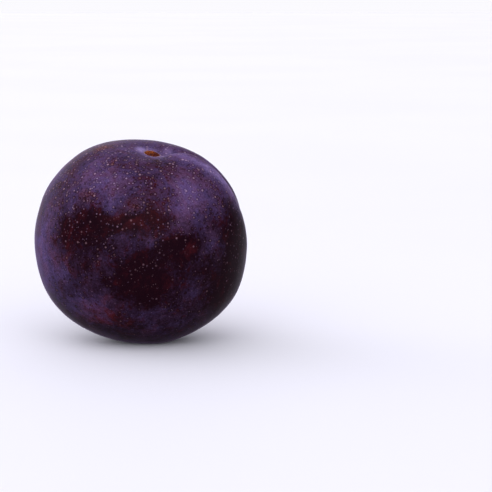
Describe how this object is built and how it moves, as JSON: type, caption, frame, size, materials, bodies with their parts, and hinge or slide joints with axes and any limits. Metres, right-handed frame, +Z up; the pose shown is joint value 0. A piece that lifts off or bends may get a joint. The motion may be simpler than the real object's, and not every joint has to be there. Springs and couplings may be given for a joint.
{
  "type": "plum",
  "caption": "Dark dessert plum as picked, one solid, lying on a small flat with its stem hollow leaning to the front and its suture to the right.",
  "frame": {"origin": "on the surface the plum rests on, under the middle of its bounding box", "axes": "+Z up from the resting surface, -Y to the front, where the stem hollow leans, +X to the side that the suture runs down"},
  "size_m": [0.0598, 0.057, 0.057],
  "materials": {
    "skin": "dark purple skin with a waxy bloom, satin"
  },
  "bodies": {
    "root": {"plum": "skin"}
  },
  "joints": []
}
